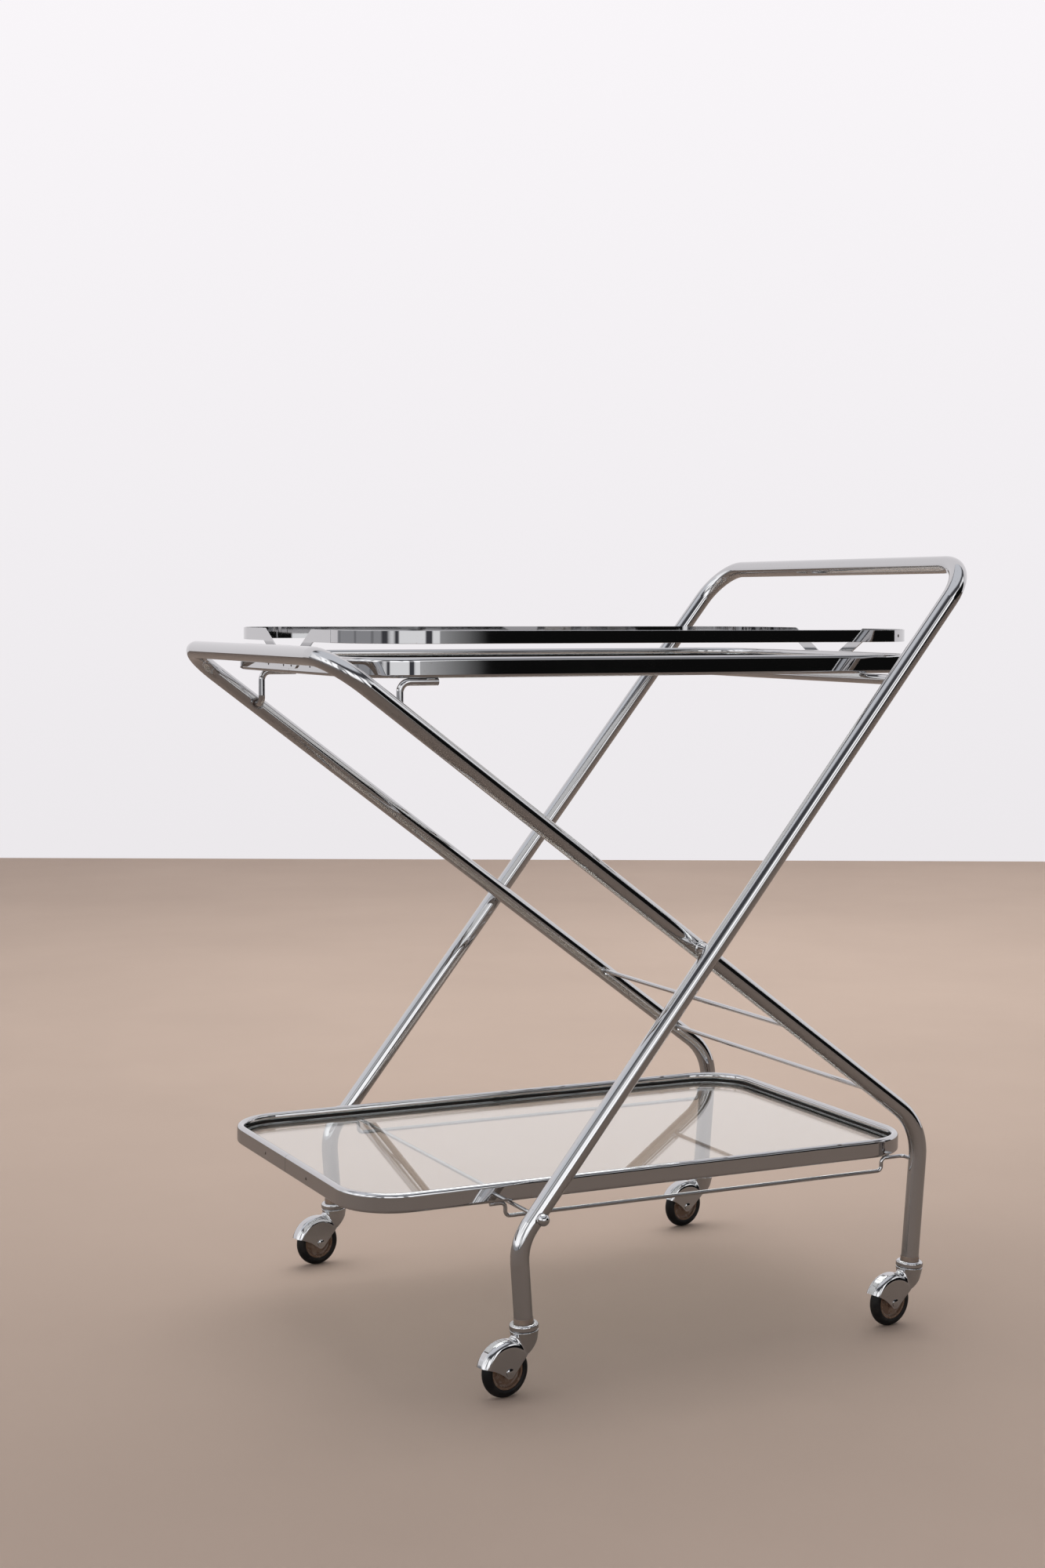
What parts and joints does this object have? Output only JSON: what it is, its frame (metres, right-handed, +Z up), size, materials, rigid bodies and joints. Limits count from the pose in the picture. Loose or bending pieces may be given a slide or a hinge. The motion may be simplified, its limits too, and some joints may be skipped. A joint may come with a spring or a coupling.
{
  "type": "bar cart",
  "caption": "Folding bar cart: crossed chrome tube frames on swivel casters carry glass shelves in rolled rims, with a low gallery rail and a push handle.",
  "frame": {"origin": "on the floor under the middle of the open cart", "axes": "+X to the handle end, +Y across the cart to its far side, +Z up"},
  "size_m": [0.6962, 0.5344, 0.7885],
  "materials": {
    "chrome": "bright plated, lightly worn",
    "steel": "plain plated",
    "glass": "clear float",
    "tyre": "semi-matt black rubber",
    "hub": "brown moulded, worn",
    "sleeve": "beige moulded"
  },
  "bodies": {
    "crossbar_frame": {"crossbar_frame": "chrome", "stay_rod_upper": "chrome", "stay_rod_lower": "chrome", "sleeve_crossbar_near": "sleeve", "sleeve_crossbar_far": "sleeve"},
    "handle_frame": {"handle_frame": "chrome", "pivot_pins": "steel", "pivot_spacers": "chrome", "slide_rod": "chrome", "slide_rod_balls": "chrome", "shelf_bar": "chrome", "sleeve_handle_near": "sleeve", "sleeve_handle_far": "sleeve"},
    "lower_shelf": {"lower_rim": "chrome", "lower_glass": "glass", "lower_joint": "steel", "lower_rivets": "steel", "slide_rail_near": "chrome", "slide_rail_far": "chrome"},
    "upper_shelf": {"upper_rim": "chrome", "upper_glass": "glass", "upper_joint": "steel", "upper_rivets": "steel", "shelf_peg_near": "chrome", "shelf_peg_far": "chrome", "gallery_near": "chrome", "gallery_far": "chrome", "gallery_tabs": "steel", "gallery_rivets": "steel"},
    "fork_handle_near": {"stem_handle_near": "steel", "collar_handle_near": "chrome", "fork_handle_near": "chrome", "axle_handle_near": "steel"},
    "wheel_handle_near": {"hub_handle_near": "hub", "tyre_handle_near": "tyre"},
    "fork_handle_far": {"stem_handle_far": "steel", "collar_handle_far": "chrome", "fork_handle_far": "chrome", "axle_handle_far": "steel"},
    "wheel_handle_far": {"hub_handle_far": "hub", "tyre_handle_far": "tyre"},
    "fork_crossbar_near": {"stem_crossbar_near": "steel", "collar_crossbar_near": "chrome", "fork_crossbar_near": "chrome", "axle_crossbar_near": "steel"},
    "wheel_crossbar_near": {"hub_crossbar_near": "hub", "tyre_crossbar_near": "tyre"},
    "fork_crossbar_far": {"stem_crossbar_far": "steel", "collar_crossbar_far": "chrome", "fork_crossbar_far": "chrome", "axle_crossbar_far": "steel"},
    "wheel_crossbar_far": {"hub_crossbar_far": "hub", "tyre_crossbar_far": "tyre"}
  },
  "joints": [
    {"name": "fold", "type": "hinge", "parent": "crossbar_frame", "child": "handle_frame", "pos_m": [0.04192, 0, 0.4045], "axis": [0, -1, 0], "range_deg": [0, 45]},
    {"name": "lower_shelf_hinge", "type": "hinge", "parent": "crossbar_frame", "child": "lower_shelf", "pos_m": [0.30617, 0, 0.16685], "axis": [0, -1, 0], "range_deg": [0, 15.4]},
    {"name": "upper_shelf_hinge", "type": "hinge", "parent": "crossbar_frame", "child": "upper_shelf", "pos_m": [-0.26099, 0, 0.63111], "axis": [0, -1, 0], "range_deg": [0, 18.1]},
    {"name": "swivel_handle_near", "type": "hinge", "parent": "handle_frame", "child": "fork_handle_near", "pos_m": [-0.15978, -0.2462, 0.07168], "axis": [-0.0732, 0, 0.9973], "continuous": true},
    {"name": "wheel_handle_near", "type": "hinge", "parent": "fork_handle_near", "child": "wheel_handle_near", "pos_m": [-0.18104, -0.25054, 0.025], "axis": [-0.1732, 0.9848, -0.0127], "continuous": true},
    {"name": "swivel_handle_far", "type": "hinge", "parent": "handle_frame", "child": "fork_handle_far", "pos_m": [-0.15978, 0.2462, 0.07168], "axis": [-0.0732, 0, 0.9973], "continuous": true},
    {"name": "wheel_handle_far", "type": "hinge", "parent": "fork_handle_far", "child": "wheel_handle_far", "pos_m": [-0.18104, 0.24186, 0.025], "axis": [-0.1732, 0.9848, -0.0127], "continuous": true},
    {"name": "swivel_crossbar_near", "type": "hinge", "parent": "crossbar_frame", "child": "fork_crossbar_near", "pos_m": [0.29909, -0.2143, 0.06813], "axis": [0.0715, 0, 0.9974], "continuous": true},
    {"name": "wheel_crossbar_near", "type": "hinge", "parent": "fork_crossbar_near", "child": "wheel_crossbar_near", "pos_m": [0.27132, -0.21864, 0.025], "axis": [-0.1732, 0.9848, 0.0124], "continuous": true},
    {"name": "swivel_crossbar_far", "type": "hinge", "parent": "crossbar_frame", "child": "fork_crossbar_far", "pos_m": [0.29909, 0.2143, 0.06813], "axis": [0.0715, 0, 0.9974], "continuous": true},
    {"name": "wheel_crossbar_far", "type": "hinge", "parent": "fork_crossbar_far", "child": "wheel_crossbar_far", "pos_m": [0.27132, 0.20996, 0.025], "axis": [-0.1732, 0.9848, 0.0124], "continuous": true}
  ],
  "couplings": [
    {"joint": "lower_shelf_hinge", "follows": "fold", "ratio": 0.34},
    {"joint": "upper_shelf_hinge", "follows": "fold", "ratio": 0.4}
  ]
}
